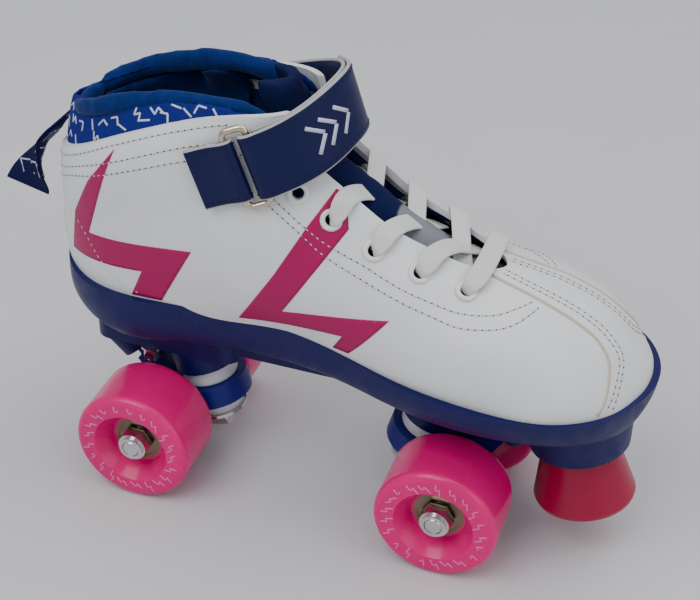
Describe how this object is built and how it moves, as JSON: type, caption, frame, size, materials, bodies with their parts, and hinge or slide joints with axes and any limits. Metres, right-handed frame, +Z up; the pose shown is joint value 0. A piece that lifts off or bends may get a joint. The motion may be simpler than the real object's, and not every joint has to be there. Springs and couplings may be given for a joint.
{
  "type": "quad roller skate",
  "caption": "High-top lace-up boot on a moulded plate with two steering trucks, four pink wheels on bearings, an ankle strap through a ring and a toe stop.",
  "frame": {"origin": "on the floor under the middle of the skate, halfway between the axles", "axes": "+X towards the toe, +Y to the inner side of a right foot, +Z up"},
  "size_m": [0.2932, 0.103, 0.2043],
  "materials": {
    "wheel": "glossy translucent hot pink polyurethane",
    "bearing_steel": "dark bronze-toned bearing steel",
    "chrome_steel": "bright zinc plating",
    "truck_plastic": "satin bright blue moulding",
    "plate_plastic": "satin dark blue moulding",
    "cushion": "white urethane",
    "cup_rubber": "black rubber",
    "toe_stop": "semi-gloss crimson pink rubber",
    "upper_white": "white coated synthetic leather, fine grain",
    "raw_edge": "cream cut edge",
    "lining_blue": "dark blue textile",
    "board": "fibre board",
    "band_print": "royal blue stretch fabric with white zigzag print",
    "cuff_knit": "brushed knit, medium blue",
    "tongue_navy": "navy padded textile",
    "eyelet_white": "white enamel",
    "lace_white": "flat woven white lace",
    "strap_navy": "navy coated synthetic leather",
    "ring_metal": "polished pale nickel-brass wire"
  },
  "bodies": {
    "boot_and_plate": {"sole_plate": "plate_plastic", "plate_bolts": "chrome_steel", "plate_nuts": "chrome_steel", "toe_stop": "toe_stop", "toe_stop_stem": "chrome_steel", "lasting_board": "board", "insole": "lining_blue", "lining": "lining_blue", "outer_quarter": "upper_white", "inner_quarter": "upper_white", "vamp": "upper_white", "heel_strip": "raw_edge", "collar_band": "band_print", "cuff": "cuff_knit", "tongue": "tongue_navy", "eyelets": "eyelet_white", "lace": "lace_white", "strap_ring": "ring_metal", "strap_tab": "strap_navy", "strap_base": "strap_navy", "pull_tab": "band_print", "front_kingpin": "chrome_steel", "front_kingpin_nut": "chrome_steel", "front_kingpin_washer": "chrome_steel", "front_upper_cushion": "cushion", "front_lower_cushion": "cushion", "front_pivot_cup": "cup_rubber", "rear_kingpin": "chrome_steel", "rear_kingpin_nut": "chrome_steel", "rear_kingpin_washer": "chrome_steel", "rear_upper_cushion": "cushion", "rear_lower_cushion": "cushion", "rear_pivot_cup": "cup_rubber"},
    "front_truck": {"front_hanger": "truck_plastic", "front_axle": "chrome_steel", "front_inner_races": "bearing_steel", "front_bearing_balls": "bearing_steel", "front_spacers": "chrome_steel", "front_axle_washers": "chrome_steel", "front_axle_nuts": "chrome_steel"},
    "rear_truck": {"rear_hanger": "truck_plastic", "rear_axle": "chrome_steel", "rear_inner_races": "bearing_steel", "rear_bearing_balls": "bearing_steel", "rear_spacers": "chrome_steel", "rear_axle_washers": "chrome_steel", "rear_axle_nuts": "chrome_steel"},
    "front_inner_wheel_body": {"front_inner_wheel": "wheel", "front_inner_outer_races": "bearing_steel"},
    "front_outer_wheel_body": {"front_outer_wheel": "wheel", "front_outer_outer_races": "bearing_steel"},
    "rear_inner_wheel_body": {"rear_inner_wheel": "wheel", "rear_inner_outer_races": "bearing_steel"},
    "rear_outer_wheel_body": {"rear_outer_wheel": "wheel", "rear_outer_outer_races": "bearing_steel"},
    "strap_flap": {"strap_flap": "strap_navy"}
  },
  "joints": [
    {"name": "front_truck_steer", "type": "hinge", "parent": "boot_and_plate", "child": "front_truck", "pos_m": [0.051, 0, 0.034], "axis": [0.9252, 0, 0.3796], "range_deg": [-6, 6], "stiffness_Nm_per_rad": 12, "deforming": ["front_upper_cushion", "front_lower_cushion"]},
    {"name": "rear_truck_steer", "type": "hinge", "parent": "boot_and_plate", "child": "rear_truck", "pos_m": [-0.051, 0, 0.034], "axis": [-0.9252, 0, 0.3796], "range_deg": [-6, 6], "stiffness_Nm_per_rad": 12, "deforming": ["rear_upper_cushion", "rear_lower_cushion"]},
    {"name": "front_inner_wheel_spin", "type": "hinge", "parent": "front_truck", "child": "front_inner_wheel_body", "pos_m": [0.07, 0.0355, 0.027], "axis": [0, 1, 0], "continuous": true},
    {"name": "front_outer_wheel_spin", "type": "hinge", "parent": "front_truck", "child": "front_outer_wheel_body", "pos_m": [0.07, -0.0355, 0.027], "axis": [0, 1, 0], "continuous": true},
    {"name": "rear_inner_wheel_spin", "type": "hinge", "parent": "rear_truck", "child": "rear_inner_wheel_body", "pos_m": [-0.07, 0.0355, 0.027], "axis": [0, 1, 0], "continuous": true},
    {"name": "rear_outer_wheel_spin", "type": "hinge", "parent": "rear_truck", "child": "rear_outer_wheel_body", "pos_m": [-0.07, -0.0355, 0.027], "axis": [0, 1, 0], "continuous": true},
    {"name": "strap_peel", "type": "hinge", "parent": "boot_and_plate", "child": "strap_flap", "pos_m": [-0.01548, -0.03129, 0.17176], "axis": [0.3624, 0, -0.932], "range_deg": [0, 54]}
  ]
}
